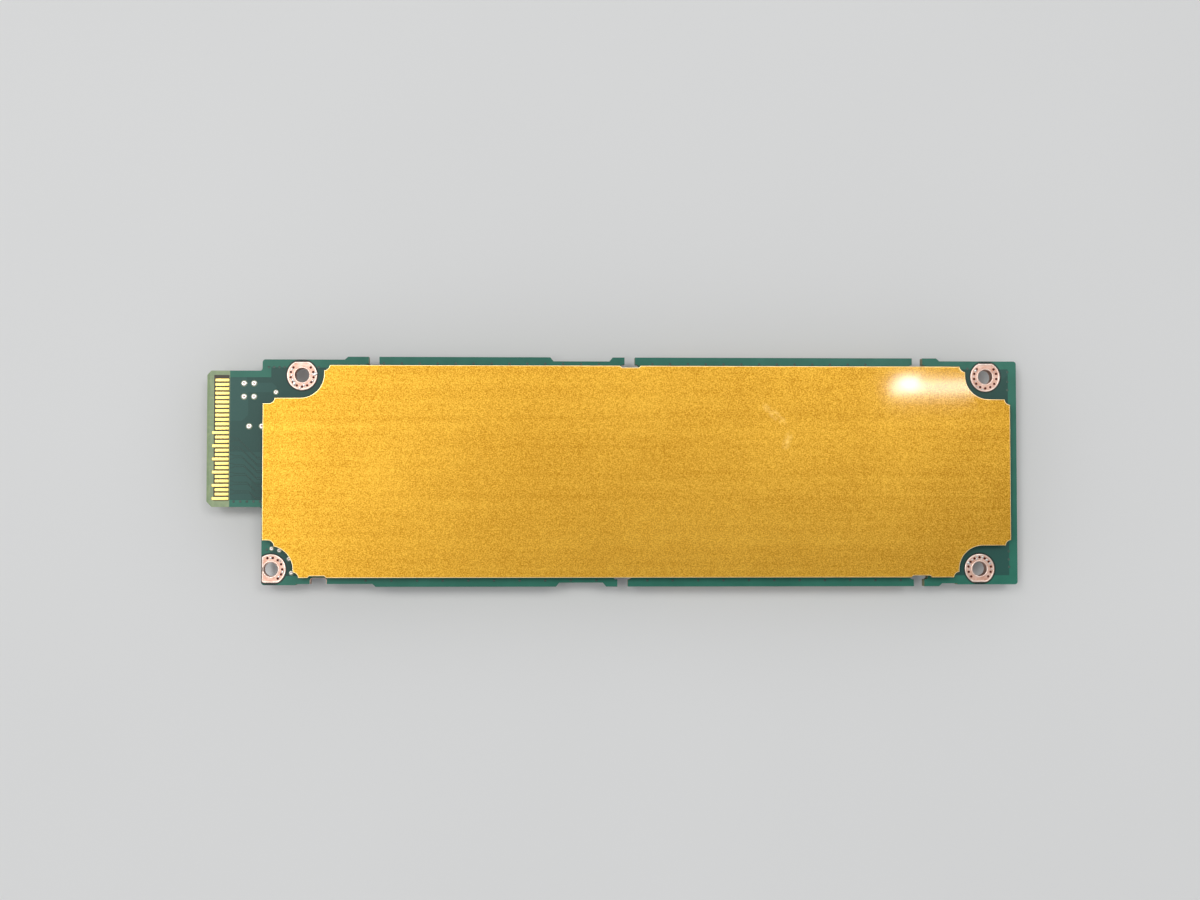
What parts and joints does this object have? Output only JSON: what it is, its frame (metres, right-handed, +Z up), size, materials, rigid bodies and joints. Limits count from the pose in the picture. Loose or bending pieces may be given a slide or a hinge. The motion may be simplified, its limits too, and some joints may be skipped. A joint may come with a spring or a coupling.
{
  "type": "enterprise solid state drive",
  "caption": "Solid state drive on a bare long card, with a card-edge tab, screw pads, clip slots and a gold heat spreader sheet over its memory.",
  "frame": {"origin": "under the middle of the card, on the plane that its tallest lower parts rest on", "axes": "+X along the card, away from the card-edge tab; +Z up through the heat spreader; +Y towards the edge that the tab is nearer to"},
  "size_m": [0.1114, 0.0316, 0.0059],
  "materials": {
    "laminate": "glass-epoxy laminate, bare and cut by a router",
    "solder_mask": "green solder mask over copper, satin",
    "bare_copper": "plated copper with a preservative coat, pinkish, with specks of solder",
    "contact_gold": "hard gold over nickel, smooth",
    "tin": "tinned copper, satin",
    "gold_anodised": "bead-blasted sheet, anodised gold, satin with a fine grain",
    "thermal_pad": "filled silicone, soft and matte",
    "mould_compound": "black epoxy moulding compound, matte",
    "package_substrate": "green package laminate",
    "underfill": "dark epoxy underfill, glossy",
    "capacitor_mould": "amber moulded epoxy, matte",
    "inductor_core": "pressed iron powder, matte dark grey",
    "chip_ceramic": "fired barium titanate, tan",
    "resistor_glaze": "black glaze on alumina",
    "crystal_ceramic": "pale fired alumina",
    "light_lens": "clear epoxy lens over a white base"
  },
  "bodies": {
    "root": {"circuit_board": "laminate", "solder_mask_upper": "solder_mask", "solder_mask_lower": "solder_mask", "slot_plating": "bare_copper", "edge_contacts_upper": "contact_gold", "edge_contacts_lower": "contact_gold", "screw_pad_upper_left": "bare_copper", "screw_pad_lower_left": "bare_copper", "screw_pad_upper_right": "bare_copper", "screw_pad_lower_right": "bare_copper", "test_pads_upper": "tin", "test_pads_lower": "tin", "heat_spreader": "gold_anodised", "thermal_pad_controller": "thermal_pad", "thermal_pad_1": "thermal_pad", "thermal_pad_2": "thermal_pad", "thermal_pad_3": "thermal_pad", "thermal_pad_4": "thermal_pad", "controller_substrate": "package_substrate", "controller_cap": "mould_compound", "flash_upper_1": "mould_compound", "flash_upper_2": "mould_compound", "flash_upper_3": "mould_compound", "flash_upper_4": "mould_compound", "flash_lower_1": "mould_compound", "flash_lower_2": "mould_compound", "flash_lower_3": "mould_compound", "flash_lower_4": "mould_compound", "working_memory_1": "mould_compound", "working_memory_2": "mould_compound", "underfill_upper": "underfill", "underfill_lower": "underfill", "hold_up_capacitor_1": "capacitor_mould", "hold_up_capacitor_2": "capacitor_mould", "hold_up_capacitor_3": "capacitor_mould", "hold_up_capacitor_4": "capacitor_mould", "hold_up_capacitor_5": "capacitor_mould", "hold_up_capacitor_6": "capacitor_mould", "hold_up_capacitor_7": "capacitor_mould", "hold_up_capacitor_8": "capacitor_mould", "hold_up_terminals": "tin", "power_inductor_1": "inductor_core", "power_inductor_2": "inductor_core", "power_inductor_3": "inductor_core", "power_inductor_4": "inductor_core", "inductor_terminals": "tin", "power_manager": "mould_compound", "inlet_switch": "mould_compound", "boost_converter": "mould_compound", "boot_memory": "mould_compound", "package_leads": "tin", "temperature_sensor": "mould_compound", "crystal_base": "crystal_ceramic", "crystal_lid": "tin", "ceramic_chips_upper": "chip_ceramic", "ceramic_chips_lower": "chip_ceramic", "chip_resistors": "resistor_glaze", "chip_end_caps_upper": "tin", "chip_end_caps_lower": "tin", "status_lights": "light_lens"}
  },
  "joints": []
}
